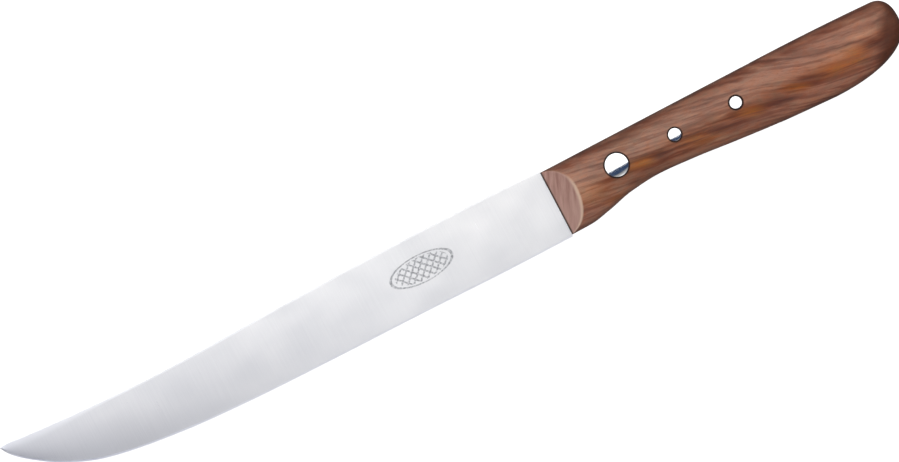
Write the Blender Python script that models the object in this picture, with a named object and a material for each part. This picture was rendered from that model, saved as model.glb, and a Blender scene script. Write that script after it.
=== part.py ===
"""A butcher's slicing knife: a trailing-point blade whose half tang sits in a sawn kerf of a one-piece
wooden handle, held by one large and two small two-part cutlery rivets, ground flush with the wood.

Knife coordinates, in millimetres, are used for every dimension below. X runs from the handle's front
face (0) towards the butt, Y from the handle's straight back (0) towards the spine side, and Z through
the thickness, with 0 in the middle plane of the blade. The empty that holds all pieces puts the knife
flat on its side, centred over the world's origin, with its lowest point at world Z 0.
"""

from math import cos, pi, radians, sin, tan

import bmesh
import bpy
import numpy as np

MM = 0.001
GAP = 0.3  # clearance between touching pieces

# Blade outline
BLADE_LENGTH = 200.1
SPINE = (
    (-200.1, 2.4), (-197.6, 2.62), (-191, 2.05), (-171, 0.7), (-141, -0.25),
    (-98, 0.6), (-52, 1.2), (-25, 1.1), (0, 0.4),
)
EDGE = (
    (-200.1, 2.28), (-198.5, -0.35), (-196.4, -2.6), (-193, -5.45), (-188.1, -8.9), (-184, -11.3),
    (-171, -16.6), (-151, -20.0), (-131, -21.7), (-105, -22.6), (-52, -23.2), (-19, -23.7), (0, -23.7),
)
# Blade thickness: half of it at the spine, along the blade. The rear stretch is ground to one plane.
SPINE_HALF = ((-200.1, 0.12), (-195, 0.4), (-180, 0.7), (-150, 0.95), (-110, 1.1), (0, 1.1))
EDGE_HALF = 0.2  # half-thickness behind the cutting bevel
BEVEL_HEIGHT = 0.6  # height of the cutting bevel
APEX_HALF = 0.02  # half-width of the cutting edge itself

# Tang
TANG_LENGTH = 78.0
TANG_HALF = 1.1
TANG_INSET = 0.05  # how far the tang lies below the wood at back and belly
TANG_CORNER = 3.0
PLUNGE_LENGTH = 2.0  # the ground blade becomes the full-thickness tang over this length
HEEL_STEP = 0.02  # the blade's heel steps in to the tang within this distance of the handle's front face
TIP_END = 2.6  # the blade's tip rounds over within this distance
FRONT_END = -151.0  # ahead of this the blade's outline curves more

# Handle outline: straight back that droops slightly, belly with a waist and a swell, rounded butt
HANDLE_LENGTH = 128.6
BACK_DROOP_START = 83.0
BACK_DROOP = 0.8
BACK_CORNER_START = 121.3
BACK_CORNER_POWER = 2.5
BELLY = (
    (0, -23.1), (7, -23.0), (15, -21.6), (24, -19.5), (34.5, -18.6),
    (47, -19.3), (62, -20.8), (80, -22.35), (98.5, -23.3),
)
BELLY_CORNER_START = 98.5
BELLY_CORNER_POWER = 2.3

# Handle section: widest on one line, with superellipse quarters above and below it
CENTRE_LINE = -9.5
HALF_WIDTH = ((0, 8.8), (34.5, 8.6), (98.5, 9.25), (112, 9.25))
END_ROUND_START = 112.0
SECTION_POWER = 2.2
QUARTER_STEPS = 12

# Handle front: a low land beside the kerf, then a flat bevel up to each cheek
FRONT_LAND = 1.7  # height of the land's top above the middle plane
BEVEL_ANGLE = radians(41.7)

# Rivets: place along the centre line, radii, and depth of the head below the cheek's half-width
RIVETS = {
    "front": {"x": 23.5, "head": 4.2, "head_depth": 2.0, "shank": 2.5, "bore": 1.7, "pin": 1.4},
    "middle": {"x": 45.1, "head": 2.4, "head_depth": 1.6, "shank": 1.6, "bore": 1.05, "pin": 0.75},
    "rear": {"x": 67.8, "head": 2.4, "head_depth": 1.6, "shank": 1.6, "bore": 1.05, "pin": 0.75},
}
BORE_FLOOR = -5.0  # how deep the female rivet's blind bore goes
TURNED_STEPS = 32

# Reach of the cutters past the handle
OUTSIDE = 14.0  # a Z that is clear of the cheeks
OVERRUN = 2.0  # how far cutters start ahead of the front face
CUT_LOW_Y, CUT_HIGH_Y = -30.0, 5.0


def smooth(points):
    """A smooth curve y(x) through the points, with level turning points and no overshoot."""
    x, y = np.array(points, float).T
    step = np.diff(x)
    slope = np.diff(y) / step
    tangent = np.zeros(len(x))
    tangent[0], tangent[-1] = slope[0], slope[-1]
    for i in range(1, len(x) - 1):
        if slope[i - 1] * slope[i] > 0:
            near, far = 2 * step[i] + step[i - 1], step[i] + 2 * step[i - 1]
            tangent[i] = (near + far) / (near / slope[i - 1] + far / slope[i])

    def at(place):
        i = int(np.clip(np.searchsorted(x, place) - 1, 0, len(step) - 1))
        t = (place - x[i]) / step[i]
        rise = step[i] * (tangent[i] * t * (1 - t) ** 2 - tangent[i + 1] * t**2 * (1 - t))
        return float(y[i] * (1 + 2 * t) * (1 - t) ** 2 + y[i + 1] * t**2 * (3 - 2 * t) + rise)

    return at


def rounded(share, power):
    """The height of a unit superellipse quarter at a share of its length, 1 at 0 and 0 at 1."""
    return max(0.0, 1 - max(0.0, share) ** power) ** (1 / power)


spine_y = smooth(SPINE)
edge_y = smooth(EDGE)
spine_half = smooth(SPINE_HALF)
belly_curve = smooth(BELLY)
half_width_curve = smooth(HALF_WIDTH)


def back_y(x):
    """Y of the handle's back."""
    if x < BACK_CORNER_START:
        share = max(0.0, x - BACK_DROOP_START) / (BACK_CORNER_START - BACK_DROOP_START)
        return -BACK_DROOP * share**2
    share = (x - BACK_CORNER_START) / (HANDLE_LENGTH - BACK_CORNER_START)
    return CENTRE_LINE + (-BACK_DROOP - CENTRE_LINE) * rounded(share, BACK_CORNER_POWER)


def belly_y(x):
    """Y of the handle's belly."""
    if x < BELLY_CORNER_START:
        return belly_curve(x)
    share = (x - BELLY_CORNER_START) / (HANDLE_LENGTH - BELLY_CORNER_START)
    return CENTRE_LINE + (BELLY[-1][1] - CENTRE_LINE) * rounded(share, BELLY_CORNER_POWER)


def half_width(x):
    """Half of the handle's thickness on the centre line."""
    if x < END_ROUND_START:
        return half_width_curve(x)
    share = (x - END_ROUND_START) / (HANDLE_LENGTH - END_ROUND_START)
    return HALF_WIDTH[-1][1] * rounded(share, SECTION_POWER)


def handle_section(x):
    """The handle's closed section at x, as points (x, y, z)."""
    ring = []
    for i in range(4 * QUARTER_STEPS):
        angle = 2 * pi * i / (4 * QUARTER_STEPS)
        across, along = cos(angle), sin(angle)
        reach = (back_y(x) if along > 0 else belly_y(x)) - CENTRE_LINE
        y = CENTRE_LINE + reach * abs(along) ** (2 / SECTION_POWER)
        z = half_width(x) * abs(across) ** (2 / SECTION_POWER) * (1 if across > 0 else -1)
        ring.append((x, y, z))
    return ring


def blade_section(x):
    """The blade's or tang's closed section at x, as points (x, y, z), from spine to edge and back."""
    if x <= 0:
        top, low = spine_y(x), edge_y(x)
        thick = spine_half(x)
        shoulder = min(low + BEVEL_HEIGHT, (top + low) / 2)
        behind, apex = min(EDGE_HALF, thick), APEX_HALF
    else:
        corner = max(0.0, x - (TANG_LENGTH - TANG_CORNER)) / TANG_CORNER
        round_off = TANG_CORNER * (1 - rounded(corner, 2))
        top = back_y(x) - TANG_INSET - round_off
        low = belly_y(x) + TANG_INSET + round_off
        thick = TANG_HALF
        shoulder = low + BEVEL_HEIGHT
        grown = min(1.0, x / PLUNGE_LENGTH)
        behind = EDGE_HALF + (TANG_HALF - EDGE_HALF) * grown
        apex = APEX_HALF + (TANG_HALF - APEX_HALF) * grown
    sides = ((top, thick), (shoulder, behind), (low, apex))
    return [(x, y, z) for y, z in sides] + [(x, y, -z) for y, z in reversed(sides)]


def material(name, colour, roughness, metallic):
    made = bpy.data.materials.new(name)
    made.use_nodes = True
    shader = made.node_tree.nodes["Principled BSDF"]
    shader.inputs["Base Color"].default_value = (*colour, 1)
    shader.inputs["Roughness"].default_value = roughness
    shader.inputs["Metallic"].default_value = metallic
    return made


def add(name, mesh_maker, look, holder, at=(0, 0, 0)):
    """A new object under the holder, at a place in knife coordinates, from a bmesh in metres."""
    mesh = bpy.data.meshes.new(name)
    mesh_maker.to_mesh(mesh)
    mesh_maker.free()
    mesh.shade_smooth()
    mesh.set_sharp_from_angle(angle=radians(30))
    mesh.materials.append(look)
    piece = bpy.data.objects.new(name, mesh)
    bpy.context.scene.collection.objects.link(piece)
    piece.parent = holder
    piece.location = [c * MM for c in at]
    return piece


def lofted(rings):
    """A closed body through rings of points, with a flat cap at each end."""
    maker = bmesh.new()
    loops = [[maker.verts.new([c * MM for c in point]) for point in ring] for ring in rings]
    for one, other in zip(loops, loops[1:]):
        for i in range(len(one)):
            maker.faces.new((one[i - 1], one[i], other[i], other[i - 1]))
    maker.faces.new(loops[0])
    maker.faces.new(loops[-1])
    bmesh.ops.recalc_face_normals(maker, faces=maker.faces)
    return maker


def turned(profile):
    """A closed body made by turning a profile of (radius, z) points about Z."""
    maker = bmesh.new()
    points = [maker.verts.new((radius * MM, 0, z * MM)) for radius, z in profile]
    edges = [maker.edges.new(pair) for pair in zip(points, points[1:])]
    bmesh.ops.spin(
        maker, geom=points + edges, cent=(0, 0, 0), axis=(0, 0, 1),
        angle=2 * pi, steps=TURNED_STEPS, use_merge=True,
    )
    bmesh.ops.remove_doubles(maker, verts=maker.verts, dist=1e-7)
    bmesh.ops.recalc_face_normals(maker, faces=maker.faces)
    return maker


def prism(outline):
    """A closed body with an outline of (x, z) points that runs past the handle's back and belly."""
    return lofted([[(x, y, z) for x, z in outline] for y in (CUT_LOW_Y, CUT_HIGH_Y)])


def hidden(piece):
    """Marks a cutter or guide, which isn't part of the knife."""
    piece.hide_render = True
    piece.display_type = "WIRE"
    return piece


def boolean(piece, other, operation):
    step = piece.modifiers.new(f"{operation.lower()}_{other.name}", "BOOLEAN")
    step.operation = operation
    step.object = other


def stations(start, end, count):
    return [float(x) for x in np.linspace(start, end, count)]


def handle_stations():
    """X of the handle's sections: even along the grip, closer towards the butt."""
    grip = stations(0, BELLY_CORNER_START, 31)
    reach = HANDLE_LENGTH - BELLY_CORNER_START
    butt = [BELLY_CORNER_START + reach * sin(radians(angle)) for angle in range(6, 84, 6)]
    last = [BELLY_CORNER_START + reach * sin(radians(angle)) for angle in (85, 87.5, 89)]
    return grip + butt + last


def blade_stations():
    """X of the blade's and tang's sections, closer towards the tip and at the tang's rear corners."""
    tip = [TIP_END * share**2 - BLADE_LENGTH for share in stations(0, 1, 5)]
    front = stations(2 * TIP_END - BLADE_LENGTH, FRONT_END, 19)
    rear = stations(FRONT_END + 4, -1, 35)
    heel = [-HEEL_STEP, HEEL_STEP, PLUNGE_LENGTH]
    tang = stations(7, TANG_LENGTH - TANG_CORNER, 18)
    end = [TANG_LENGTH - TANG_CORNER * (1 - sin(radians(angle))) for angle in (20, 40, 60, 80)]
    return tip + front + rear + heel + tang + end


def handle_blank():
    """The handle's outer body, before anything is cut from it."""
    return lofted([handle_section(x) for x in handle_stations()])


def make_blade(holder, steel, holes):
    blade = add("blade_with_tang", lofted([blade_section(x) for x in blade_stations()]), steel, holder)
    for hole in holes:
        boolean(blade, hole, "DIFFERENCE")


def make_handle(holder, wood, holes):
    handle = add("handle", handle_blank(), wood, holder)
    kerf_half = TANG_HALF + GAP
    kerf_end = TANG_LENGTH + GAP
    slot = ((-OVERRUN, -kerf_half), (kerf_end, -kerf_half), (kerf_end, kerf_half), (-OVERRUN, kerf_half))
    boolean(handle, hidden(add("kerf_cutter", prism(slot), wood, holder)), "DIFFERENCE")
    rise = tan(BEVEL_ANGLE)
    for side in (1, -1):
        start, end = FRONT_LAND - OVERRUN * rise, FRONT_LAND + OUTSIDE * rise
        wedge = ((-OVERRUN, side * start), (OUTSIDE, side * end), (-OVERRUN, side * end))
        boolean(handle, hidden(add("bevel_cutter", prism(wedge), wood, holder)), "DIFFERENCE")
    for hole in holes:
        boolean(handle, hole, "DIFFERENCE")


def make_rivet(name, rivet, holder, metal, envelope):
    """Both halves of one rivet. Their heads end in the handle's own surface, as they are ground with it."""
    seat = half_width(rivet["x"]) - rivet["head_depth"]
    at = (rivet["x"], CENTRE_LINE, 0)
    male = [
        (0, BORE_FLOOR + GAP), (rivet["pin"], BORE_FLOOR + GAP), (rivet["pin"], seat),
        (rivet["head"], seat), (rivet["head"], OUTSIDE), (0, OUTSIDE),
    ]
    female = [
        (0, BORE_FLOOR), (rivet["bore"], BORE_FLOOR), (rivet["bore"], seat - GAP),
        (rivet["shank"], seat - GAP), (rivet["shank"], -seat), (rivet["head"], -seat),
        (rivet["head"], -OUTSIDE), (0, -OUTSIDE),
    ]
    for half, profile in (("male", male), ("female", female)):
        boolean(add(f"{name}_rivet_{half}", turned(profile), metal, holder, at), envelope, "INTERSECT")


def rivet_hole(name, rivet, holder, metal):
    """The cutter for one rivet's hole through wood and tang, with a seat for each head."""
    seat = half_width(rivet["x"]) - rivet["head_depth"] - GAP
    narrow, wide = rivet["shank"] + GAP, rivet["head"] + GAP
    profile = [
        (0, -OUTSIDE), (wide, -OUTSIDE), (wide, -seat), (narrow, -seat),
        (narrow, seat), (wide, seat), (wide, OUTSIDE), (0, OUTSIDE),
    ]
    return hidden(add(f"{name}_hole_cutter", turned(profile), metal, holder, (rivet["x"], CENTRE_LINE, 0)))


def main():
    for old in list(bpy.data.objects):
        bpy.data.objects.remove(old)
    steel = material("ground_blade_steel", (0.72, 0.74, 0.76), 0.28, 1.0)
    wood = material("oiled_plum_wood", (0.26, 0.115, 0.075), 0.42, 0.0)
    metal = material("polished_rivet_metal", (0.83, 0.84, 0.85), 0.12, 1.0)

    knife = bpy.data.objects.new("knife", None)
    bpy.context.scene.collection.objects.link(knife)
    top = max(y for _, y in SPINE)
    low = min(y for _, y in EDGE)
    lowest = max(half for _, half in HALF_WIDTH)
    knife.location = ((BLADE_LENGTH - HANDLE_LENGTH) / 2 * MM, -(top + low) / 2 * MM, lowest * MM)

    envelope = hidden(add("envelope_guide", handle_blank(), wood, knife))
    holes = [rivet_hole(name, rivet, knife, metal) for name, rivet in RIVETS.items()]
    make_blade(knife, steel, holes)
    make_handle(knife, wood, holes)
    for name, rivet in RIVETS.items():
        make_rivet(name, rivet, knife, metal, envelope)


main()
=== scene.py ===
"""Looks of the butcher's slicing knife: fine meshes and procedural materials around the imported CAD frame.

Shapes are given in knife millimetres: X from the handle's front face towards the butt, Y from the handle's
straight back towards the spine side, Z from the blade's middle plane. The looks turn object coordinates
into the same millimetres, so grain, grinding lines and the etched mark have their real sizes and places.
"""

from functools import reduce
from math import cos, pi, radians, sin, tan

import bmesh
import bpy
import numpy as np
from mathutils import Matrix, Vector


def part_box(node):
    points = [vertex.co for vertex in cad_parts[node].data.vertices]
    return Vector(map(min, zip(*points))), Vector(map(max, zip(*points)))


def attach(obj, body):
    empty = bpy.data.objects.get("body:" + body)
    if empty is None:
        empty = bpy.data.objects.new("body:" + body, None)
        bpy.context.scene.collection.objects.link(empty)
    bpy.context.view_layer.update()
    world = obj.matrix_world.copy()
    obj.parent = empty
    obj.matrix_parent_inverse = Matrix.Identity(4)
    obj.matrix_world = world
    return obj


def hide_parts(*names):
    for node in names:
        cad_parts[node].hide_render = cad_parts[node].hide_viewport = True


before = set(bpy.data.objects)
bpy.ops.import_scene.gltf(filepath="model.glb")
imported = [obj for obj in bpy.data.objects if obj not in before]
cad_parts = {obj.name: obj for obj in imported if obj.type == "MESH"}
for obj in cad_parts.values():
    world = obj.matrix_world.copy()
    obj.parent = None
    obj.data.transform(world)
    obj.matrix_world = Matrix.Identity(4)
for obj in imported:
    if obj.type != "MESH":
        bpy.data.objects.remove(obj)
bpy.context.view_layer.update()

MM = 0.001

# Places and sizes read from the frame
handle_low, handle_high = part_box("handle")
ORIGIN = Vector((handle_low[0], handle_high[1], (handle_low[2] + handle_high[2]) / 2))
HANDLE_LENGTH = (handle_high[0] - handle_low[0]) / MM
HANDLE_HALF = (handle_high[2] - handle_low[2]) / 2 / MM
blade_low, blade_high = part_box("blade_with_tang")
BLADE_LENGTH = (ORIGIN[0] - blade_low[0]) / MM
TANG_LENGTH = (blade_high[0] - ORIGIN[0]) / MM
TANG_HALF = (blade_high[2] - blade_low[2]) / 2 / MM

# Blade outline, thickness and bevel, as in the CAD frame
SPINE = (
    (-BLADE_LENGTH, 2.4), (-197.6, 2.62), (-191, 2.05), (-171, 0.7), (-141, -0.25),
    (-98, 0.6), (-52, 1.2), (-25, 1.1), (0, 0.4),
)
EDGE = (
    (-BLADE_LENGTH, 2.28), (-198.5, -0.35), (-196.4, -2.6), (-193, -5.45), (-188.1, -8.9), (-184, -11.3),
    (-171, -16.6), (-151, -20.0), (-131, -21.7), (-105, -22.6), (-52, -23.2), (-19, -23.7), (0, -23.7),
)
SPINE_HALF = ((-BLADE_LENGTH, 0.12), (-195, 0.4), (-180, 0.7), (-150, 0.95), (-110, 1.1), (0, 1.1))
EDGE_HALF = 0.2  # half-thickness behind the cutting bevel
BEVEL_HEIGHT = 0.6

# Finer features of the blade and its tang
APEX_HALF = 0.012  # half-width of the cutting edge itself
SPINE_ROUND = 0.16  # radius of the eased corners of the spine
FLANK_STEPS = 10
# How far the ground flank bows out between spine and cutting bevel, as a share of the half-thickness
FLANK_BOW = ((-BLADE_LENGTH, 0.16), (-165, 0.13), (-140, 0.08), (-110, 0.03), (0, 0.03))
TANG_INSET = 0.02  # how far the tang lies below the wood at back and belly
TANG_CORNER = 3.0
TIP_REACH = 4.0  # sections crowd together within this distance of the tip
CURVED_END = -150.0  # ahead of this the outline curves more and the sections are closer
HEEL_STEP = 0.02  # the blade steps in to the tang within this distance of the handle's front
CREASE, BLADE_CREASE = 30, 8  # degrees: sharper corners than these stay sharp

# Handle outline and section, as in the CAD frame
BACK_DROOP_START = 83.0
BACK_DROOP = 0.8
BACK_CORNER_START = 121.3
BACK_CORNER_POWER = 2.5
BELLY = (
    (0, -23.1), (7, -23.0), (15, -21.6), (24, -19.5), (34.5, -18.6),
    (47, -19.3), (62, -20.8), (80, -22.35), (98.5, -23.3),
)
BELLY_CORNER_START = 98.5
BELLY_CORNER_POWER = 2.3
CENTRE_LINE = -9.5
HALF_WIDTH = ((0, 8.8), (34.5, 8.6), (98.5, HANDLE_HALF), (112, HANDLE_HALF))
END_ROUND_START = 112.0
SECTION_POWER = 2.2
FRONT_LAND = 1.7
BEVEL_ANGLE = radians(41.7)
SOFT_EDGE = 0.35  # how far the sanded edge of the front bevel rounds over
RING_POINTS = 168

# Gaps between the pieces. Those beside the tang, the shanks and the heads are closer than in the CAD frame.
KERF_GAP = 0.04  # between the tang's faces and the wood
KERF_END_GAP = 0.1  # behind the tang
HEAD_GAP = 0.14  # ring of air around each rivet head
SHANK_GAP = 0.05
SEAT_GAP = 0.02  # under each head
PIN_END_GAP = 0.3  # below the pin, and between the shank and the far head

# Rivets: radii of shank, bore and pin, depth of the seat under the head, and width of the head's
# chamfered rim. A head follows the cheek, flattened by the share "flat" and leaning down towards the
# back by "lean".
SMALL_RIVET = {"shank": 1.6, "bore": 1.05, "pin": 0.98, "depth": 1.6}
RIVETS = {
    "front": {"shank": 2.5, "bore": 1.7, "pin": 1.6, "depth": 2.0, "rim": 0.3, "flat": 0.0, "lean": 0.0},
    "middle": {**SMALL_RIVET, "rim": 0.28, "flat": 0.0, "lean": -0.01},
    "rear": {**SMALL_RIVET, "rim": 0.38, "flat": 0.7, "lean": 0.03},
}
for name, rivet in RIVETS.items():  # their places and the radii of their heads come from the frame
    low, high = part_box(f"{name}_rivet_male")
    rivet["x"] = ((low[0] + high[0]) / 2 - ORIGIN[0]) / MM
    rivet["head"] = (high[0] - low[0]) / 2 / MM
BORE_FLOOR = -5.0  # how deep the blind bore of the hollow shank goes
PIN_CORNER = 0.25  # chamfer at the end of the pin
SHANK_CORNER = 0.2  # chamfers at the mouth of the hollow shank
HEAD_CORNER = 0.1  # chamfer under the head
RIM_STEEPNESS = 1.35  # depth of the chamfer around a rivet head, as a share of its width
RIM_SHARES = (0, 0.3, 0.6, 0.85)  # rings on that chamfer, from the outside inwards
RIM_STEP = 0.02  # the chamfer ends this far below the head's top
HEAD_RINGS = 9
TURN_POINTS = 72
# Profile of the eased edge of a counterbore: how far outwards, how far above the cheek
EASED_EDGE = ((0, -0.14), (0.03, -0.05), (0.12, 0.01), (0.5, 0.3))
CUTTER_REACH = 3.0  # how far a cutter stands out above the cheek
HOLE_HALF = 5.0  # half-length of the cutters of the tang's holes


# ---------------------------------------------------------------- curves

def smooth(points):
    """A smooth curve y(x) through the points, with level turning points and no overshoot."""
    x, y = np.array(points, float).T
    step = np.diff(x)
    slope = np.diff(y) / step
    tangent = np.zeros(len(x))
    tangent[0], tangent[-1] = slope[0], slope[-1]
    for i in range(1, len(x) - 1):
        if slope[i - 1] * slope[i] > 0:
            near, far = 2 * step[i] + step[i - 1], step[i] + 2 * step[i - 1]
            tangent[i] = (near + far) / (near / slope[i - 1] + far / slope[i])

    def at(place):
        i = int(np.clip(np.searchsorted(x, place) - 1, 0, len(step) - 1))
        t = (place - x[i]) / step[i]
        rise = step[i] * (tangent[i] * t * (1 - t) ** 2 - tangent[i + 1] * t**2 * (1 - t))
        return float(y[i] * (1 + 2 * t) * (1 - t) ** 2 + y[i + 1] * t**2 * (3 - 2 * t) + rise)

    return at


def rounded(share, power):
    """The height of a unit superellipse quarter at a share of its length, 1 at 0 and 0 at 1."""
    return max(0.0, 1 - max(0.0, share) ** power) ** (1 / power)


def soft_min(a, b, width):
    """The smaller of two lengths, with the corner between them rounded over."""
    near = max(width - abs(a - b), 0.0) / width
    return min(a, b) - near * near * width / 4


spine_y = smooth(SPINE)
edge_y = smooth(EDGE)
spine_half = smooth(SPINE_HALF)
flank_bow = smooth(FLANK_BOW)
belly_curve = smooth(BELLY)
half_width_curve = smooth(HALF_WIDTH)


def back_y(x):
    """Y of the handle's back."""
    if x < BACK_CORNER_START:
        share = max(0.0, x - BACK_DROOP_START) / (BACK_CORNER_START - BACK_DROOP_START)
        return -BACK_DROOP * share**2
    share = (x - BACK_CORNER_START) / (HANDLE_LENGTH - BACK_CORNER_START)
    return CENTRE_LINE + (-BACK_DROOP - CENTRE_LINE) * rounded(share, BACK_CORNER_POWER)


def belly_y(x):
    """Y of the handle's belly."""
    if x < BELLY_CORNER_START:
        return belly_curve(x)
    share = (x - BELLY_CORNER_START) / (HANDLE_LENGTH - BELLY_CORNER_START)
    return CENTRE_LINE + (BELLY[-1][1] - CENTRE_LINE) * rounded(share, BELLY_CORNER_POWER)


def half_width(x):
    """Half of the handle's thickness on the centre line."""
    if x < END_ROUND_START:
        return half_width_curve(x)
    share = (x - END_ROUND_START) / (HANDLE_LENGTH - END_ROUND_START)
    return HALF_WIDTH[-1][1] * rounded(share, SECTION_POWER)


def cheek_z(x, y):
    """Height of the handle's cheek above the middle plane."""
    reach = (back_y(x) if y > CENTRE_LINE else belly_y(x)) - CENTRE_LINE
    return half_width(x) * rounded(abs((y - CENTRE_LINE) / reach), SECTION_POWER)


# ---------------------------------------------------------------- meshes

def placed(name, maker, *looks):
    """A new object in the row frame from a bmesh in knife millimetres."""
    bmesh.ops.scale(maker, vec=(MM, MM, MM), verts=maker.verts)
    bmesh.ops.translate(maker, vec=ORIGIN, verts=maker.verts)
    bmesh.ops.recalc_face_normals(maker, faces=maker.faces)
    mesh = bpy.data.meshes.new(name)
    maker.to_mesh(mesh)
    maker.free()
    for look in looks:
        mesh.materials.append(look)
    piece = bpy.data.objects.new(name, mesh)
    bpy.context.scene.collection.objects.link(piece)
    return piece


def finish_piece(piece, node, crease=CREASE):
    """Smooths the piece between its creases and lets it stand for its CAD node."""
    piece.data.shade_smooth()
    piece.data.set_sharp_from_angle(angle=radians(crease))
    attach(piece, "root")
    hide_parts(node)


def lofted(rings, marked=()):
    """A closed body through rings of points, with a cap at each end. Marked strips get material 1."""
    maker = bmesh.new()
    loops = [[maker.verts.new(point) for point in ring] for ring in rings]
    for one, other in zip(loops, loops[1:]):
        for i in range(len(one)):
            face = maker.faces.new((one[i - 1], one[i], other[i], other[i - 1]))
            face.material_index = int(i in marked)
    maker.faces.new(loops[0])
    maker.faces.new(loops[-1])
    return maker


def stations(start, end, count):
    """Evenly spaced places from start to end, both included."""
    return [float(x) for x in np.linspace(start, end, count)]


def even_ring(points, count):
    """The closed ring of (y, z) points again, with count points spaced evenly along it."""
    closed = np.array(points + points[:1])
    along = np.concatenate([[0], np.cumsum(np.linalg.norm(np.diff(closed, axis=0), axis=1))])
    at = np.linspace(0, along[-1], count, endpoint=False)
    return np.stack([np.interp(at, along, closed[:, k]) for k in (0, 1)], axis=1)


def handle_ring(x):
    """The handle's section at x: superellipse quarters, cut down by the front bevels."""
    coarse = []
    for i in range(4 * RING_POINTS):
        angle = 2 * pi * i / (4 * RING_POINTS)
        across, along = cos(angle), sin(angle)
        reach = (back_y(x) if along > 0 else belly_y(x)) - CENTRE_LINE
        y = CENTRE_LINE + reach * abs(along) ** (2 / SECTION_POWER)
        z = half_width(x) * abs(across) ** (2 / SECTION_POWER) * (1 if across > 0 else -1)
        coarse.append((y, z))
    limit = FRONT_LAND + x * tan(BEVEL_ANGLE)
    return [
        (x, y, float(np.sign(z)) * soft_min(abs(z), limit, SOFT_EDGE))
        for y, z in even_ring(coarse, RING_POINTS)
    ]


def handle_body():
    """The whole handle, with its sections closest on the front bevels and at the butt."""
    front = stations(0, 9, 61)
    grip = stations(9.8, BELLY_CORNER_START, 112)
    turns = stations(1.5, 82.5, 55) + [84, 85.5, 87, 88, 89, 89.6]
    reach = HANDLE_LENGTH - BELLY_CORNER_START
    butt = [BELLY_CORNER_START + reach * sin(radians(turn)) for turn in turns]
    return lofted([handle_ring(x) for x in front + grip + butt])


def kerf_cutter():
    """What the sawn kerf takes out of the wood, standing well out in front, below and above."""
    half = TANG_HALF + KERF_GAP
    low, high = Vector((-3, -40, -half)), Vector((TANG_LENGTH + KERF_END_GAP, 20, half))
    maker = bmesh.new()
    bmesh.ops.create_cube(maker, size=1)
    bmesh.ops.scale(maker, vec=high - low, verts=maker.verts)
    bmesh.ops.translate(maker, vec=(low + high) / 2, verts=maker.verts)
    return maker


def turned(profile, rivet, level=0.0, lean=0.0):
    """A closed body turned from (radius, z, on_cheek) points about a rivet's axis.

    A point marked on_cheek has its z counted from the cheek (a negative mark: from the far cheek).
    level is how much the surface is flattened from the cheek's own curve, and lean its fall towards
    the back."""
    maker = bmesh.new()
    at, crown = rivet["x"], cheek_z(rivet["x"], CENTRE_LINE)
    loops = []
    for radius, z, on_cheek in profile:
        loop = []
        for i in range(TURN_POINTS if radius else 1):
            angle = 2 * pi * i / TURN_POINTS
            x, y = at + radius * cos(angle), CENTRE_LINE + radius * sin(angle)
            cheek = (1 - level) * cheek_z(x, y) + level * crown - lean * radius * sin(angle)
            loop.append(maker.verts.new((x, y, z + on_cheek * cheek)))
        loops.append(loop * (1 if radius else TURN_POINTS))
    for one, other in zip(loops, loops[1:]):
        for i in range(TURN_POINTS):
            maker.faces.new(list(dict.fromkeys((one[i - 1], one[i], other[i], other[i - 1]))))
    return maker


def cut_out(piece, *others):
    """Cuts the others out of piece, for good, and removes them."""
    for other in others:
        step = piece.modifiers.new("cut", "BOOLEAN")
        step.operation = "DIFFERENCE"
        step.object = other
    bpy.context.view_layer.update()
    evaluated = piece.evaluated_get(bpy.context.evaluated_depsgraph_get())
    mesh = bpy.data.meshes.new_from_object(evaluated)
    piece.modifiers.clear()
    piece.data = mesh
    for other in others:
        bpy.data.objects.remove(other)


def blade_ring(x):
    """The blade's or tang's section at x, from the eased spine corner down to the edge and back up."""
    if x <= 0:
        top, low, thick = spine_y(x), edge_y(x), spine_half(x)
        shoulder = min(low + BEVEL_HEIGHT, (top + low) / 2)
        behind, apex, bow = min(EDGE_HALF, thick), APEX_HALF, flank_bow(x)
    else:
        corner = max(0.0, x - (TANG_LENGTH - TANG_CORNER)) / TANG_CORNER
        round_off = TANG_CORNER * (1 - rounded(corner, 2))
        top = back_y(x) - TANG_INSET - round_off
        low = belly_y(x) + TANG_INSET + round_off
        shoulder, thick, behind, apex, bow = low + BEVEL_HEIGHT, TANG_HALF, TANG_HALF, TANG_HALF, 0.0
    ease = min(SPINE_ROUND, 0.4 * thick, 0.2 * (top - low))
    side = [(top, thick - ease), (top - 0.3 * ease, thick - 0.3 * ease), (top - ease, thick)]
    for share in stations(0, 1, FLANK_STEPS + 1)[1:]:
        y = top - ease + (shoulder - top + ease) * share
        side.append((y, thick + (behind - thick) * share + bow * 4 * share * (1 - share) * thick))
    side.append((low, apex))
    return [(x, y, z) for y, z in side] + [(x, y, -z) for y, z in reversed(side)]


def blade_body():
    """Blade and tang, with sections closest at the tip. The cutting bevel is marked for its own look."""
    tip = [TIP_REACH * share**2 - BLADE_LENGTH for share in stations(0, 1, 11)]
    front = stations(TIP_REACH + 0.6 - BLADE_LENGTH, CURVED_END, 75)
    rear = stations(CURVED_END + 1, -0.4, 150)
    heel = [-HEEL_STEP, HEEL_STEP, 1.0]
    tang = stations(3, TANG_LENGTH - TANG_CORNER, 40)
    end = [TANG_LENGTH - TANG_CORNER * (1 - sin(radians(turn))) for turn in (15, 30, 45, 60, 75, 85)]
    shoulder = 2 + FLANK_STEPS
    rings = [blade_ring(x) for x in tip + front + rear + heel + tang + end]
    return lofted(rings, marked=(shoulder + 1, shoulder + 2, shoulder + 3))


def tang_hole(rivet):
    """What a rivet's hole takes out of the tang."""
    radius, far = rivet["shank"] + SHANK_GAP, HOLE_HALF
    return turned([(0, -far, 0), (radius, -far, 0), (radius, far, 0), (0, far, 0)], rivet)


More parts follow.
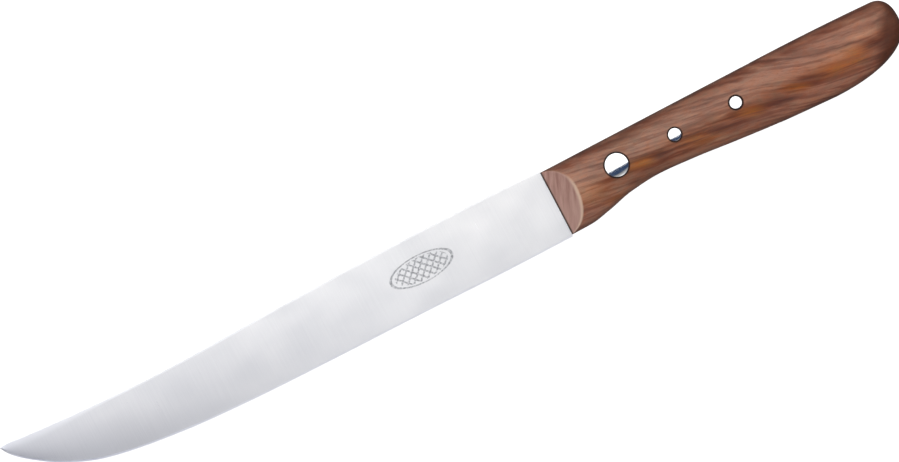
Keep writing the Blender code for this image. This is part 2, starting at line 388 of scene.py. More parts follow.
def rim(rivet):
    """The chamfered rim and the top of a rivet head, from its outside inwards."""
    head, wide = rivet["head"], rivet["rim"]
    chamfer = [(head - wide * share, wide * RIM_STEEPNESS * (share - 1), 1) for share in RIM_SHARES]
    corner = [(head - wide, -RIM_STEP, 1)]
    flat = [(r, 0.0, 1) for r in stations(head - wide, 0, HEAD_RINGS + 1)[1:]]
    return chamfer + corner + flat


def seat_z(rivet):
    """Height of the seat under a rivet's head."""
    return cheek_z(rivet["x"], CENTRE_LINE) - rivet["depth"]


def headed(rivet, stem):
    """A rivet half: the points of its stem, then the head that both halves share."""
    seat = seat_z(rivet)
    under = [(rivet["head"] - HEAD_CORNER, seat, 0), (rivet["head"], seat + HEAD_CORNER, 0)]
    return turned(stem + under + rim(rivet), rivet, rivet["flat"], rivet["lean"])


def rivet_male(rivet):
    """Head and solid pin."""
    pin, foot = rivet["pin"], BORE_FLOOR + PIN_END_GAP
    stem = [(0, foot, 0), (pin - PIN_CORNER, foot, 0), (pin, foot + PIN_CORNER, 0), (pin, seat_z(rivet), 0)]
    return headed(rivet, stem)


def rivet_female(rivet):
    """Head and hollow shank, turned as a male half is and then mirrored to the other side."""
    bore, shank, mouth, corner = rivet["bore"], rivet["shank"], PIN_END_GAP - seat_z(rivet), SHANK_CORNER
    stem = [
        (0, -BORE_FLOOR, 0), (bore, -BORE_FLOOR, 0), (bore, mouth + corner, 0), (bore + corner, mouth, 0),
        (shank - corner, mouth, 0), (shank, mouth + corner, 0), (shank, seat_z(rivet), 0),
    ]
    maker = headed(rivet, stem)
    bmesh.ops.scale(maker, vec=(1, 1, -1), verts=maker.verts)
    return maker


def rivet_cutter(rivet):
    """What a rivet's hole takes out of the wood: a shank hole, and each side a counterbore with an
    eased edge."""
    seat = seat_z(rivet) - SEAT_GAP
    narrow, wide = rivet["shank"] + SHANK_GAP, rivet["head"] + HEAD_GAP
    eased = [(wide + out, up, 1) for out, up in EASED_EDGE]
    top = [(wide + EASED_EDGE[-1][0], CUTTER_REACH, 1), (0, CUTTER_REACH, 1)]
    half = [(narrow, seat, 0), (wide, seat, 0), *eased, *top]
    return turned([(r, -z, -on) for r, z, on in reversed(half)] + half, rivet)


# ---------------------------------------------------------------- looks

class Graph:
    """A node tree being put together, with short ways to add what the looks need."""

    def __init__(self, tree):
        self.tree = tree

    def feed(self, socket, value):
        if isinstance(value, bpy.types.NodeSocket):
            self.tree.links.new(value, socket)
        else:
            socket.default_value = value

    def node(self, kind, inputs=None, **settings):
        made = self.tree.nodes.new("ShaderNode" + kind)
        for name, value in settings.items():
            setattr(made, name, value)
        for key, value in (inputs or {}).items():
            self.feed(made.inputs[key], value)
        return made

    def maths(self, operation, *values, clamp=False):
        return self.node("Math", dict(enumerate(values)), operation=operation, use_clamp=clamp).outputs[0]

    def times(self, one, other):
        return self.maths("MULTIPLY", one, other)

    def greatest(self, values):
        return reduce(lambda one, other: self.maths("MAXIMUM", one, other), values)

    def vector(self, operation, *values):
        made = self.node("VectorMath", dict(enumerate(values)), operation=operation)
        return made.outputs["Value" if operation == "LENGTH" else "Vector"]

    def joined(self, x, y, z):
        return self.node("CombineXYZ", {0: x, 1: y, 2: z}).outputs[0]

    def noise(self, at, detail, rough=0.5):
        inputs = {"Vector": at, "Scale": 1.0, "Detail": detail, "Roughness": rough}
        return self.node("TexNoise", inputs).outputs[0]

    def spread(self, value, low, high, out_low=0.0, out_high=1.0, eased=False):
        """The value's way from low to high, as a number from out_low to out_high and no further."""
        kind = "SMOOTHSTEP" if eased else "LINEAR"
        inputs = {0: value, 1: low, 2: high, 3: out_low, 4: out_high}
        return self.node("MapRange", inputs, interpolation_type=kind).outputs[0]

    def ramp(self, value, stops, kind="LINEAR"):
        """A colour ramp through (position, colour or grey) stops, read at value."""
        made = self.node("ValToRGB", {0: value})
        made.color_ramp.interpolation = kind
        elements = made.color_ramp.elements
        while len(elements) < len(stops):
            elements.new(0.5)
        for element, (position, colour) in zip(elements, sorted(stops, key=lambda stop: stop[0])):
            element.position = position
            element.color = (*colour, 1) if isinstance(colour, tuple) else (colour, colour, colour, 1)
        return made.outputs[0]

    def curve(self, value, points):
        """A smooth curve through (input, output) points."""
        (first, _), (last, _) = points[0], points[-1]
        low, high = min(y for _, y in points), max(y for _, y in points)
        share = self.maths("DIVIDE", self.maths("SUBTRACT", value, first), last - first)
        curve = self.node("FloatCurve", {"Value": share})
        knots = curve.mapping.curves[0].points
        for _ in points[2:]:
            knots.new(0.5, 0.5)
        for knot, (x, y) in zip(knots, points):
            knot.location = ((x - first) / (last - first), (y - low) / (high - low))
        curve.mapping.update()
        return self.maths("MULTIPLY_ADD", curve.outputs[0], high - low, low)

    def mix(self, share, one, other, kind="MIX"):
        inputs = {0: share, 6: self.solid(one), 7: self.solid(other)}
        return self.node("Mix", inputs, data_type="RGBA", blend_type=kind).outputs[2]

    def solid(self, colour):
        return (*colour, 1.0) if isinstance(colour, tuple) else colour

    def tinted(self, colour, tint):
        return self.mix(1.0, colour, tint, "MULTIPLY")

    def brightened(self, colour, factor):
        return self.tinted(colour, self.joined(factor, factor, factor))


def srgb(*levels):
    """Linear colour from 0 to 255 screen levels."""
    shares = [level / 255 for level in levels]
    return tuple(c / 12.92 if c <= 0.04045 else ((c + 0.055) / 1.055) ** 2.4 for c in shares)


class Look(Graph):
    """A procedural material around one Principled shader, with knife millimetres as x, y, z and place."""

    def __init__(self, name, **constants):
        self.material = bpy.data.materials.new(name)
        self.material.use_nodes = True
        super().__init__(self.material.node_tree)
        self.shader = self.tree.nodes["Principled BSDF"]
        for key, value in constants.items():
            self.shader.inputs[key.replace("_", " ")].default_value = value
        corner = self.vector("SUBTRACT", self.node("TexCoord").outputs["Object"], tuple(ORIGIN))
        self.place = self.vector("MULTIPLY", corner, (1 / MM, 1 / MM, 1 / MM))
        self.x, self.y, self.z = self.node("SeparateXYZ", {0: self.place}).outputs

    def stretched(self, x, y, z):
        return self.vector("MULTIPLY", self.place, (x, y, z))

    def spot(self, place, at, size):
        """1 where place is at, falling smoothly to 0 at the sizes around it."""
        away = self.vector("MULTIPLY", self.vector("SUBTRACT", place, at), tuple(1 / s for s in size))
        return self.spread(self.vector("LENGTH", away), 0.0, 1.0, 1.0, 0.0, eased=True)

    def finish(self, colour, roughness, height, depth):
        """The material with its colour, its roughness and a relief whose full height is depth in mm."""
        self.feed(self.shader.inputs["Base Color"], colour)
        self.feed(self.shader.inputs["Roughness"], roughness)
        bump = self.node("Bump", {"Height": height, "Distance": depth * MM, "Strength": 1.0})
        self.feed(self.shader.inputs["Normal"], bump.outputs[0])
        return self.material


# ---------------------------------------------------------------- wood

# Growth layers of the plank. LAYER_SHIFT says how far a layer drops along the handle, and each of
# LAYER_LINES is a dark late-wood line: where it is across the layers, its softness and its depth.
LAYER_SHIFT = ((0, 0), (40, 6.6), (72, 12.2), (84, 15.8), (96, 19.7), (110, 22.5), (130, 25.6))
LAYER_LINES = (
    (-19.0, 1.6, 0.35), (-13.0, 1.4, 0.45), (-9.4, 0.8, 0.3), (-6.4, 0.8, 0.8), (-4.9, 0.8, 0.6),
    (-3.5, 0.9, 0.8), (-2.3, 0.7, 0.5), (0.2, 1.2, 0.3), (1.9, 1.0, 0.6), (3.4, 0.6, 0.6),
    (4.7, 0.6, 0.75), (5.6, 0.9, 1.0), (8.4, 1.2, 0.3), (12.9, 1.1, 0.9), (15.4, 1.0, 0.4), (19.5, 1.4, 0.5),
)
LAYER_LOW, LAYER_HIGH = -26.0, 28.0  # the stretch of layers that the lines' ramps cover
LINE_CUT = 0.45  # a late-wood line ends within this distance on its far side
DEEP_Z = 0.25  # how far the layers shift with each mm of height
CHEEK_LEVEL = 8.2  # height at which LAYER_LINES hold
# Scales of the wood's noises, in features per mm along, across and deep
BAND_SCALE = (0.045, 0.5, 0.15)
FIBRE_SCALE = (0.17, 1.9, 1.2)
PORE_SCALE = (0.55, 9.0, 9.0)

# Colours of the heartwood from belly to back, as shares of the way and screen levels. The darker stops at
# both ends are painted shade where the section rounds away
WOOD_ZONES_WITH_SHADE = (
    (0.0, (110, 68, 54)), (0.12, (156, 98, 76)), (0.25, (147, 86, 62)), (0.34, (119, 54, 23)),
    (0.46, (125, 59, 25)), (0.56, (155, 97, 72)), (0.66, (158, 105, 84)), (0.81, (154, 102, 81)),
    (0.87, (136, 80, 60)), (0.93, (124, 71, 54)), (0.98, (124, 80, 64)), (1.0, (110, 74, 62)),
)
PALE_BAND, DARK_BAND = srgb(180, 125, 99), srgb(90, 44, 26)
PALE_WOOD, WARM_WOOD, DARK_WOOD = srgb(196, 140, 110), srgb(167, 90, 20), srgb(82, 36, 22)
# The last two colours here are painted shade: at the rounded butt, over its darker end grain, and where the
# wood rounds away at back and belly
LATE_WOOD, BUTT_SHADE_WOOD, EDGE_SHADE_WOOD = srgb(74, 36, 25), srgb(84, 38, 17), srgb(62, 34, 28)
# The last two colours here darken a ring close around each rivet head and a line along the front bevels' foot
PORE, RIVET_RING_DARK, FOOT_DARK = srgb(60, 30, 20), srgb(46, 30, 26), srgb(44, 28, 24)
END_GRAIN = ((0.3, srgb(168, 118, 104)), (0.5, srgb(188, 139, 123)), (0.68, srgb(206, 160, 142)))
# The second colour here paints a highlight on the front bevel's rounded corner
PALE_END, RIM_HIGHLIGHT_WOOD = srgb(208, 164, 146), srgb(232, 192, 164)
# Tints that multiply the colour: by the mottling, and along the handle from its front to its butt
MOTTLE_TINTS = ((0.3, (0.87, 1.0, 1.02)), (0.5, (1.0, 1.0, 1.0)), (0.7, (1.03, 0.9, 0.78)))
TINTS_ALONG = (
    (0.0, (1.03, 1.08, 1.11)), (0.19, (1.02, 1.17, 1.2)), (0.5, (1.035, 1.12, 1.12)),
    (0.83, (1.02, 1.02, 0.99)),
)

# Patches of heartwood that run along the layers: middle (x, y, z), reach along, across and deep, strength.
# Those on the far cheek have a negative z.
WARM_PATCHES = (
    ((12, -14, 6), (11, 6, 8), 0.5), ((18, -19, 5), (8, 3, 8), 0.4), ((31, -12.4, 7), (9, 3.2, 9), 1.0),
    ((45, -10.5, 7), (7, 2.4, 9), 0.4), ((50, -13.5, 7), (8, 2.4, 9), 0.8),
    ((53, -15.5, 7), (12, 3.4, 9), 0.6), ((71, -14.4, 7), (7, 3.4, 9), 1.0),
    ((88, -14.0, 7), (7, 3.0, 9), 0.9), ((103, -14.6, 7), (13, 4.6, 9), 1.0),
    ((109, -15.6, 7), (9, 2.6, 9), 1.1), ((110, -12.8, 7), (8, 4.4, 9), 1.0),
    ((40, -15, -7), (16, 3, 8), 0.8), ((84, -9, -7), (14, 3, 8), 0.7), ((112, -8, -7), (10, 3, 8), 0.6),
)
PALE_PATCHES = (
    ((9, -12, 7), (10, 7, 9), 1.1), ((10, -6, 6), (9, 3, 9), 0.6), ((10.5, -10.8, 7), (6, 2.2, 9), 0.6),
    ((20, -16.2, 6), (8, 2.4, 9), 0.5), ((30, -4.6, 7), (10, 2.4, 9), 0.8),
    ((35, -2.9, 6), (9, 1.3, 9), 0.6), ((52, -6.2, 7), (9, 1.6, 9), 0.4),
    ((60, -10.8, 7), (6, 1.6, 9), 0.8), ((60, -18.4, 6), (14, 2, 9), 0.5),
    ((71, -16.1, 7), (6, 1.5, 9), 0.4), ((80, -2.9, 6), (7, 1.3, 9), 0.4),
    ((82, -9.8, 7), (9, 2.2, 9), 0.6), ((90, -20.0, 6), (16, 2.2, 9), 0.4),
    ((98, -10.8, 7), (7, 1.8, 9), 0.6), ((100, -7.0, 7), (12, 2.0, 9), 0.5),
    ((107, -11.4, 7), (12, 2.8, 9), 1.2), ((110, -10.8, 7), (8, 1.7, 9), 1.0),
    ((114, -3.4, 6), (10, 1.4, 9), 0.7), ((115, -8.2, 7), (8, 2.4, 9), 1.2),
    ((60, -6, -7), (20, 3, 9), 0.5), ((100, -16, -7), (16, 3, 9), 0.5),
)
DARK_PATCHES = (
    ((14, -5.0, 6), (9, 1.0, 9), 0.5), ((14, -8.8, 6), (9, 1.0, 9), 0.6),
    ((27, -17.2, 5), (9, 2.0, 8), 0.6), ((33, -10.8, 7), (9, 1.2, 9), 0.8),
    ((36, -16.8, 6), (10, 1.8, 8), 0.5), ((38, -13.2, 7), (6, 2.6, 9), 1.0),
    ((51, -12.2, 7), (12, 1.4, 9), 0.7), ((57, -5.0, 7), (11, 0.9, 9), 0.55),
    ((58, -14.2, 7), (7, 2.4, 9), 0.9), ((59, -7.0, 7), (9, 0.8, 9), 0.5),
    ((68, -17.6, 7), (14, 1.5, 9), 0.4), ((70, -5.5, 7), (5, 1.2, 9), 0.45),
    ((72, -11.4, 7), (8, 1.3, 9), 0.5), ((79.5, -8.2, 7), (5, 1.3, 9), 0.35),
    ((80, -13.2, 7), (5, 1.6, 9), 0.4), ((81, -15.4, 7), (9, 3.4, 9), 1.0),
    ((84, -10.2, 7), (15, 1.1, 9), 0.6), ((94.5, -13.4, 7), (8, 2.2, 9), 1.1),
    ((100, -16.0, 7), (14, 1.6, 9), 0.35), ((104, -7.7, 7), (18, 1.0, 9), 0.6),
    ((116, -17.6, 5), (9, 2.6, 10), 0.8), ((117, -12.6, 6), (8, 3.2, 12), 1.3),
    ((122, -13.6, 5), (9, 7, 12), 0.85),
    ((64, -12, -7), (12, 2, 8), 0.7), ((22, -6, -7), (10, 2, 8), 0.6), ((95, -14, -7), (12, 2, 8), 0.8),
)
RING_DARK_START, RING_DARK_END = 0.1, 0.45  # the darker ring around a rivet head fades between these distances
FRONT_REACH = (9.5, 13.5)  # the front cheek's height above and below the centre line
FRONT_END = (8.6, 9.2)  # the painted highlight on the bevels' rounded corners fades out here along the handle
FOOT_DARK_REACH = (0.2, 0.8)  # and the darker line at the bevels' foot, against the blade, here
EDGE_SHADE_REACH = (2.6, 5.4)  # painted shade where the wood rounds away towards back, belly and butt fades out between these heights
BUTT_START, BUTT_END = 124.8, 130.2  # where the butt darkens, partly its end grain and partly painted shade where it rounds away, along the handle's back
BUTT_SLANT = -0.6  # and how much further forward it does for each mm below the back
WOOD_RELIEF = 0.035


def layer_place(look):
    """Which growth layer a point lies in, counted across the layers in mm: with small waves only, with
    all waves, and the broad waves alone."""
    layer = look.maths("ADD", look.curve(look.x, LAYER_SHIFT), look.y)
    layer = look.maths("MULTIPLY_ADD", look.maths("SUBTRACT", look.z, CHEEK_LEVEL), DEEP_Z, layer)
    broad = look.maths("MULTIPLY_ADD", look.noise(look.stretched(0.03, 0.12, 0.1), 1), 2.0, -1.0)
    small = look.maths("MULTIPLY_ADD", look.noise(look.stretched(0.11, 0.4, 0.4), 2), 0.9, -0.45)
    layer = look.maths("ADD", layer, small)
    return layer, look.maths("ADD", layer, broad), broad


def in_layers(at):
    """A patch's middle with its place across the layers instead of its y."""
    x, y, z = at
    return (x, y + float(np.interp(x, *zip(*LAYER_SHIFT))) + DEEP_Z * (z - CHEEK_LEVEL), z)


def along_layers(look, layer, scale, detail, rough=0.5):
    """Noise that runs with the growth layers, with its scale along, across and deep."""
    parts = [look.times(part, size) for part, size in zip((look.x, layer, look.z), scale)]
    return look.noise(look.joined(*parts), detail, rough)


def late_wood(look, layer):
    """Dark lines: a slow darkening towards each, and a sharp return to light wood behind it."""
    span = LAYER_HIGH - LAYER_LOW
    share = look.maths("DIVIDE", look.maths("SUBTRACT", layer, LAYER_LOW), span)
    ramps = []
    for part in (LAYER_LINES[::2], LAYER_LINES[1::2]):  # one ramp takes no more than 32 stops
        stops = []
        for at, soft, depth in part:
            stops += [(at - soft, 0.0), (at - 0.3 * soft, 0.4 * depth), (at, depth), (at + LINE_CUT, 0.0)]
        stops.pop()  # the wood stays dark behind the last line
        ramps.append(look.ramp(share, [((at - LAYER_LOW) / span, grey) for at, grey in stops]))
    patchy = look.spread(look.noise(look.stretched(0.07, 0.3, 0.3), 2), 0.38, 0.6, 0.25, 1.0, eased=True)
    return look.times(look.greatest(ramps), patchy)


def patched(look, place, patches):
    """The strongest of several soft patches."""
    return look.greatest(
        look.times(look.spot(place, in_layers(at), size), strength) for at, size, strength in patches)


def heartwood(look, place, layer, broad):
    """Bands from mauve brown to orange brown along the layers, with painted shade at back and belly, and pale
    patches.
    """
    zone = look.spread(look.maths("MULTIPLY_ADD", broad, 0.8, look.y), -24.0, 0.5)
    # The ramp's darker ends paint shade where the section rounds away towards back and belly
    colour = look.ramp(zone, [(at, srgb(*levels)) for at, levels in WOOD_ZONES_WITH_SHADE], "EASE")
    bands = look.spread(along_layers(look, layer, BAND_SCALE, 3, 0.55), 0.36, 0.64, eased=True)
    colour = look.mix(look.times(bands, 0.42), colour, PALE_BAND)
    colour = look.mix(look.times(patched(look, place, PALE_PATCHES), 0.68), colour, PALE_WOOD)
    return look.mix(look.spread(bands, 0.0, 0.5, 0.4, 0.0), colour, DARK_BAND)


def figured(look, colour, place, fibres, lines):
    """Orange patches, dark patches and late-wood lines on the heartwood, the patches with frayed ends."""
    warm = look.times(patched(look, place, WARM_PATCHES), look.spread(fibres, 0.3, 0.6, 0.7, 1.0))
    dark = look.times(patched(look, place, DARK_PATCHES), look.spread(fibres, 0.35, 0.62, 1.0, 0.7))
    colour = look.mix(look.times(warm, 0.78), colour, WARM_WOOD)
    colour = look.mix(look.times(look.maths("MINIMUM", dark, 1.0), 0.82), colour, DARK_WOOD)
    return look.mix(look.times(lines, 0.66), colour, LATE_WOOD)


def butt_shade(look, broad):
    """How far a point lies in the butt's darkening, partly its end grain and partly painted shade where it
    rounds away, which reaches forward towards the belly.
    """
    along = look.maths("MULTIPLY_ADD", look.y, BUTT_SLANT, look.maths("MULTIPLY_ADD", broad, 1.5, look.x))
    return look.spread(along, BUTT_START, BUTT_END, 0.0, 0.85, eased=True)


def fine_grained(look, colour, fibres, pores):
    """Light and dark fibres, a mottled tint, and pores."""
    colour = look.brightened(colour, look.spread(fibres, 0.3, 0.7, 0.97, 1.25))
    mottle = look.noise(look.stretched(0.35, 0.6, 0.6), 3, 0.6)
    colour = look.tinted(colour, look.ramp(mottle, MOTTLE_TINTS))
    return look.mix(look.times(pores, 0.5), colour, PORE)


def rivet_ring(look):
    """Darker wood close around the rivet heads."""
    rings = []
    for rivet in RIVETS.values():
        along, up = look.maths("SUBTRACT", look.x, rivet["x"]), look.maths("SUBTRACT", look.y, CENTRE_LINE)
        away = look.maths("SUBTRACT", look.vector("LENGTH", look.joined(along, up, 0.0)), rivet["head"])
        rings.append(look.spread(away, RING_DARK_START, RING_DARK_END, 1.0, 0.0, eased=True))
    return look.greatest(rings)


def rim_highlight(look, limit):
    """Painted highlight on the rounded corner between the front bevel and the cheek, strongest below."""
    off = look.maths("SUBTRACT", look.y, CENTRE_LINE)
    above, below = FRONT_REACH
    share = look.greatest([look.maths("DIVIDE", off, above), look.maths("DIVIDE", off, -below)])
    room = look.maths("SUBTRACT", 1.0, look.maths("POWER", share, SECTION_POWER), clamp=True)
    cheek = look.times(look.maths("POWER", room, 1 / SECTION_POWER), HALF_WIDTH[0][1])
    apart = look.maths("ABSOLUTE", look.maths("SUBTRACT", cheek, limit))
    corner = look.spread(apart, 0.08, 0.8, 1.0, 0.0, eased=True)
    corner = look.times(corner, look.spread(look.x, *FRONT_END, 1.0, 0.0))
    return look.times(corner, look.spread(look.y, -11.0, -3.0, 1.25, 0.2, eased=True))


def end_grain(look, strokes):
    """The bevelled front's paler colour: sanded end grain, palest towards the belly."""
    low_end = look.spread(look.maths("ADD", look.y, look.x), -15.0, -1.0, 1.0, 0.0, eased=True)
    return look.mix(look.times(low_end, 0.45), look.ramp(strokes, END_GRAIN), PALE_END)


def sanding_strokes(look):
    """Slanting marks of sandpaper across the front bevel."""
    across = look.maths("MULTIPLY_ADD", look.y, -0.34, look.times(look.x, 0.8))
    return look.noise(look.joined(across, look.times(look.y, 0.1), 0.0), 3, 0.65)


def wood_look():
    """Oiled, reddish-brown wood with a paler bevelled front."""
    look = Look("oiled_wood", Specular_IOR_Level=0.3, Coat_Weight=0.14, Coat_Roughness=0.28)
    steady, layer, broad = layer_place(look)
    place = look.joined(look.x, steady, look.z)  # patches follow the layers without their broad waves
    lines = late_wood(look, layer)
    fibres = along_layers(look, layer, FIBRE_SCALE, 5, 0.6)
    pores = look.spread(along_layers(look, layer, PORE_SCALE, 1), 0.64, 0.76)

    # The cheeks
    colour = figured(look, heartwood(look, place, layer, broad), place, fibres, lines)
    # Partly the butt's darker end grain, partly painted shade where it rounds away
    colour = look.mix(butt_shade(look, broad), colour, BUTT_SHADE_WOOD)
    colour = fine_grained(look, colour, fibres, pores)
    # A darker ring close around each rivet head
    colour = look.mix(look.times(rivet_ring(look), 0.8), colour, RIVET_RING_DARK)

    # The bevelled front: end grain, a painted highlight on its rounded corner, and a darker line along its
    # foot
    limit = look.maths("MULTIPLY_ADD", look.x, tan(BEVEL_ANGLE), FRONT_LAND)
    depth = look.maths("SUBTRACT", look.maths("ABSOLUTE", look.z), limit)
    end = look.spread(depth, -0.25, -0.05, eased=True)
    strokes = sanding_strokes(look)
    colour = look.mix(end, colour, end_grain(look, strokes))
    # Painted highlight along the bevel's rounded corner
    colour = look.mix(look.times(rim_highlight(look, limit), 0.66), colour, RIM_HIGHLIGHT_WOOD)
    # A darker line along the bevels' foot, where the wood meets the blade
    colour = look.mix(look.spread(look.x, *FOOT_DARK_REACH, 0.95, 0.0, eased=True), colour, FOOT_DARK)

    # A slow change along the handle, and painted shade where it rounds away at back and belly
    colour = look.tinted(colour, look.ramp(look.spread(look.x, 0.0, 128.0), TINTS_ALONG))
    edge_shade = look.spread(look.maths("ABSOLUTE", look.z), *EDGE_SHADE_REACH, 0.42, 0.0, eased=True)
    colour = look.mix(look.times(edge_shade, look.maths("SUBTRACT", 1.0, end)), colour, EDGE_SHADE_WOOD)

    rough = look.maths("MULTIPLY_ADD", end, 0.15, look.spread(fibres, 0.3, 0.7, 0.42, 0.58))
    height = look.maths("MULTIPLY_ADD", look.greatest([pores, lines]), -0.5, look.times(fibres, 0.6))
    height = look.maths("MULTIPLY_ADD", look.times(strokes, end), 0.8, height)
    return look.finish(colour, rough, height, WOOD_RELIEF)


# ---------------------------------------------------------------- steel

MARK_AT = (-49.3, -9.8)  # middle of the etched ornament
MARK_HALF = (11.7, 4.7)  # half its length and height
MARK_PITCH = 1.35  # between the lines of its lattice
MARK_LINE = 0.42  # half-width of those lines, along the blade
MARK_FRAME = 0.085  # width of its frame, as a share of the oval
MARK_GREY = srgb(92, 94, 100)
GROUND_STEEL = ((0.25, srgb(232, 231, 231)), (0.55, srgb(240, 239, 238)), (0.8, srgb(246, 245, 244)))
CLOUDY_STEEL = srgb(228, 229, 231)
HONED_STEEL = ((0.3, srgb(246, 246, 247)), (0.7, srgb(254, 254, 254)))
RIVET_METAL = ((0.3, srgb(228, 230, 233)), (0.7, srgb(243, 243, 243)))
# Colour of the painted highlight just under the spine
SPINE_HIGHLIGHT = (1.0, 1.0, 1.0)
GROUND_RELIEF, HONED_RELIEF, RIVET_RELIEF = 0.004, 0.003, 0.0015
# Painted brightness of the flank's reflections along the blade, from the tip to the heel
FLANK_PAINTED_LIGHT = (
    (0.0, 1.1), (0.08, 1.03), (0.2, 0.98), (0.28, 1.02), (0.43, 1.03), (0.52, 1.04), (0.7, 1.02),
    (0.85, 0.98), (1.0, 0.99),
)


def etched_mark(look):
    """Where a plain oval ornament with a lattice is etched into the upper flank: 1 on its lines."""
    across = look.maths("DIVIDE", look.maths("SUBTRACT", look.x, MARK_AT[0]), MARK_HALF[0])
    up = look.maths("DIVIDE", look.maths("SUBTRACT", look.y, MARK_AT[1]), MARK_HALF[1])
    out = look.vector("LENGTH", look.joined(across, up, 0.0))
    frame_line = look.maths("COMPARE", out, 1 - MARK_FRAME / 2, MARK_FRAME / 2)
    inside = look.maths("LESS_THAN", out, 1 - 2 * MARK_FRAME)
    runs = [look.maths("MULTIPLY_ADD", look.y, lean, look.x) for lean in (1.0, -1.0)]
    waves = [look.maths("PINGPONG", run, MARK_PITCH) for run in runs]
    lattice = look.greatest(look.maths("LESS_THAN", wave, MARK_LINE) for wave in waves)
    mark = look.greatest([frame_line, look.times(inside, lattice)])
    worn = look.spread(look.noise(look.stretched(1.6, 1.6, 0), 3, 0.6), 0.38, 0.6, 0.15, 1.0)
    upper = look.maths("GREATER_THAN", look.z, 0.0)
    return look.times(look.times(mark, worn), upper)


def flank_colour_and_sheen(look, strokes, cloudy):
    """Ground steel, with painted reflection brightness along the blade and towards the edge, and a painted
    highlight just under the spine.
    """
    colour = look.mix(look.spread(cloudy, 0.3, 0.7, 0.0, 0.3), look.ramp(strokes, GROUND_STEEL), CLOUDY_STEEL)
    # Painted reflection and highlight from here on: brightness along the blade and towards the edge, and
    # white just under the spine
    colour = look.tinted(colour, look.ramp(look.spread(look.x, -BLADE_LENGTH, 0.0), FLANK_PAINTED_LIGHT))
    below = look.spread(look.x, -110.0, -60.0, 0.99, 1.06)
    colour = look.brightened(colour, look.spread(look.y, -24.0, 0.0, below, 0.99))
    under_spine = look.maths("SUBTRACT", look.curve(look.x, SPINE), look.y)
    reach = look.spread(look.x, -190.0, -160.0, 3.4, 0.75)
    return look.mix(look.spread(under_spine, 0.1, reach, 0.9, 0.0, eased=True), colour, SPINE_HIGHLIGHT)


def blade_look():
    """Blade steel with grinding strokes across it and the etched ornament."""
    look = Look("ground_steel", Metallic=1.0, Anisotropic=0.5)
    along = look.node("Tangent", direction_type="RADIAL", axis="Y")
    look.feed(look.shader.inputs["Tangent"], along.outputs[0])
    strokes = look.noise(look.stretched(7.0, 0.05, 0.4), 3, 0.7)
    fine = look.noise(look.stretched(26.0, 0.12, 0.4), 2, 0.6)
    cloudy = look.noise(look.stretched(0.05, 0.09, 0.1), 3, 0.5)
    mark = etched_mark(look)
    colour = look.mix(look.times(mark, 0.55), flank_colour_and_sheen(look, strokes, cloudy), MARK_GREY)
    rough = look.maths("MULTIPLY_ADD", mark, 0.25, look.spread(strokes, 0.25, 0.75, 0.28, 0.38))
    rough = look.maths("ADD", rough, look.spread(cloudy, 0.3, 0.7, -0.02, 0.04))
    height = look.maths("MULTIPLY_ADD", fine, 0.4, look.times(strokes, 0.6))
    height = look.maths("MULTIPLY_ADD", mark, -0.8, height)
    return look.finish(colour, rough, height, GROUND_RELIEF)


def edge_look():
    """The cutting bevel, honed brighter than the flank."""
    look = Look("honed_edge", Metallic=1.0)
    strokes = look.noise(look.stretched(9.0, 0.3, 0.3), 3, 0.6)
    rough = look.spread(strokes, 0.3, 0.7, 0.3, 0.4)
    return look.finish(look.ramp(strokes, HONED_STEEL), rough, strokes, HONED_RELIEF)


def rivet_look():
    """Polished rivet metal with fine scratches."""
    look = Look("polished_rivet", Metallic=1.0)
    scratches = look.noise(look.stretched(0.9, 5.0, 0.9), 4, 0.7)
    clouds = look.noise(look.stretched(0.6, 0.6, 0.6), 2, 0.5)
    rough = look.spread(scratches, 0.35, 0.75, 0.07, 0.13)
    rough = look.maths("ADD", rough, look.spread(clouds, 0.3, 0.7, 0.0, 0.03))
    return look.finish(look.ramp(clouds, RIVET_METAL), rough, scratches, RIVET_RELIEF)


# ---------------------------------------------------------------- the knife

wood, steel, honed, bright = wood_look(), blade_look(), edge_look(), rivet_look()

blade = placed("fine_blade", blade_body(), steel, honed)
cut_out(blade, *[placed("hole", tang_hole(rivet), steel) for rivet in RIVETS.values()])
finish_piece(blade, "blade_with_tang", BLADE_CREASE)

handle = placed("fine_handle", handle_body(), wood)
holes = [placed("hole", rivet_cutter(rivet), wood) for rivet in RIVETS.values()]
cut_out(handle, placed("kerf", kerf_cutter(), wood), *holes)
finish_piece(handle, "handle")

for name, rivet in RIVETS.items():
    for half, make in (("male", rivet_male), ("female", rivet_female)):
        node = f"{name}_rivet_{half}"
        finish_piece(placed("fine_" + node, make(rivet), bright), node)


# ---------------------------------------------------------------- studio

# World metres from here on
VIEW_TURN = radians(-27.7057)
VIEW_AT = (0.000415, 0.00739, 0.00925)  # middle of the view, in the knife's middle plane
VIEW_WIDTH = 0.29667  # width of the view in that plane
LENS = 500.0
SENSOR = 36.0


def make_camera():
    """Looks straight down on the knife, turned in its plane as the photograph shows it."""
    lens = bpy.data.cameras.new("photo_view")
    lens.lens, lens.sensor_width, lens.clip_end = LENS, SENSOR, 50
    camera = bpy.data.objects.new("photo_view", lens)
    bpy.context.scene.collection.objects.link(camera)
    camera.location = (VIEW_AT[0], VIEW_AT[1], VIEW_AT[2] + VIEW_WIDTH * LENS / SENSOR)
    camera.rotation_euler = (0, 0, VIEW_TURN)
    bpy.context.scene.camera = camera


SKY_STRENGTH = 1.7
NAVY, DUSK = (0.03, 0.05, 0.1), (0.4, 0.42, 0.54)
# Brightness of the sky by its angle from straight up, in degrees towards the spine side
SKY_ACROSS = (
    (-90, 0.15), (-82, 0.5), (-60, 0.75), (-50, 1.0), (-35, 1.0), (-31.5, 0.4), (-24, 0.24), (-21, NAVY),
    (-7, NAVY), (-4, 0.5), (0, 0.7), (40, 0.95), (70, 0.95), (84, 0.5), (90, 0.2),
)
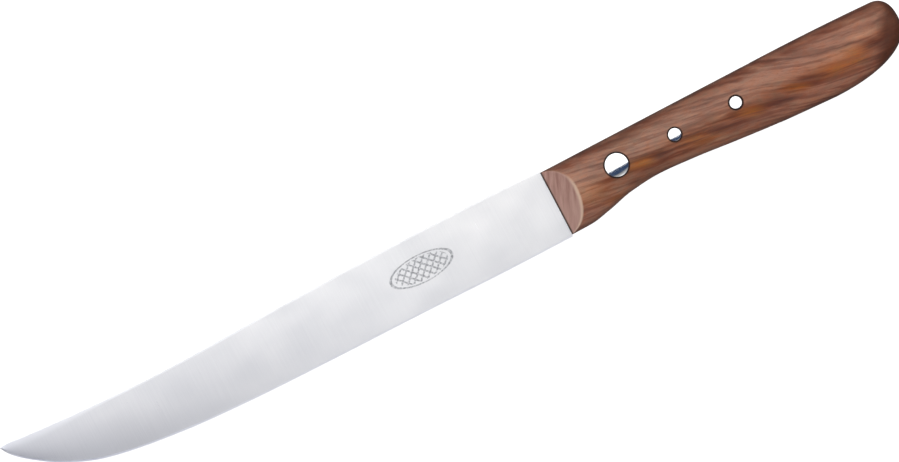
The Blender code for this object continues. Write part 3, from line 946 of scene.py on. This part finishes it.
# and along the knife, in degrees towards the butt
SKY_ALONG = (
    (-90, 0.3), (-60, 0.45), (-20, DUSK), (-8, DUSK), (0, 0.8), (35, 0.62), (70, 0.6), (90, 0.4),
)
GROUND_LIGHT = 0.1  # light from below the horizon
BACKDROP = 0.55  # the sky as the camera sees it, past the floor's edge
# The softbox over the knife: its outline (x, y), its height and its radiance
SOFTBOX = (
    (-0.24, 0.62), (-0.2, 0.06), (-0.122, -0.066), (-0.07, -0.09), (0.03, -0.09), (0.03, -0.064),
    (0.17, -0.064), (0.17, 0.62),
)
SOFTBOX_HEIGHT = 0.6
SOFTBOX_GLOW = 1.74
FLOOR_DROP = 0.0003  # below the knife
FLOOR_HALF = 8.0
FLOOR_GREY = 0.5
FLOOR_GLOW = 0.95


def make_sky():
    """The studio around the knife, as light that changes with direction."""
    world = bpy.data.worlds.new("studio")
    world.use_nodes = True
    bpy.context.scene.world = world
    graph = Graph(world.node_tree)
    x, y, z = graph.node("SeparateXYZ", {0: graph.node("TexCoord").outputs["Generated"]}).outputs
    ramps = []
    for part, stops in ((y, SKY_ACROSS), (x, SKY_ALONG)):
        angle = graph.spread(graph.maths("ARCTAN2", part, z), -pi / 2, pi / 2)
        ramps.append(graph.ramp(angle, [((degrees + 90) / 180, light) for degrees, light in stops]))
    above = graph.spread(z, -0.05, 0.08, eased=True)
    light = graph.mix(above, (GROUND_LIGHT,) * 3, graph.tinted(*ramps))
    seen = graph.node("LightPath").outputs["Is Camera Ray"]
    light = graph.mix(seen, light, (BACKDROP,) * 3)
    background = world.node_tree.nodes["Background"]
    graph.feed(background.inputs["Color"], light)
    background.inputs["Strength"].default_value = SKY_STRENGTH


def sheet_of_stage(name, outline, height, grey, glow):
    """A flat stage piece with an outline of (x, y) corners and a plain matte look that glows."""
    mesh = bpy.data.meshes.new(name)
    mesh.from_pydata([(x, y, height) for x, y in outline], [], [tuple(range(len(outline)))])
    look = bpy.data.materials.new(name)
    look.use_nodes = True
    shader = look.node_tree.nodes["Principled BSDF"]
    shader.inputs["Base Color"].default_value = (grey, grey, grey, 1)
    shader.inputs["Roughness"].default_value = 1.0
    shader.inputs["Specular IOR Level"].default_value = 0.0
    shader.inputs["Emission Color"].default_value = (1, 1, 1, 1)
    shader.inputs["Emission Strength"].default_value = glow
    mesh.materials.append(look)
    piece = bpy.data.objects.new(name, mesh)
    bpy.context.scene.collection.objects.link(piece)
    return piece


def make_softbox():
    sheet_of_stage("softbox", SOFTBOX, SOFTBOX_HEIGHT, 0.0, SOFTBOX_GLOW).visible_camera = False


def make_floor():
    """A white floor that only the camera sees, so that it throws no light on the knife."""
    far = FLOOR_HALF
    outline = ((-far, -far), (far, -far), (far, far), (-far, far))
    floor = sheet_of_stage("floor", outline, -FLOOR_DROP, FLOOR_GREY, FLOOR_GLOW)
    floor.visible_diffuse = floor.visible_glossy = False


make_camera()
make_sky()
make_softbox()
make_floor()
bpy.context.scene.view_settings.view_transform = "Standard"
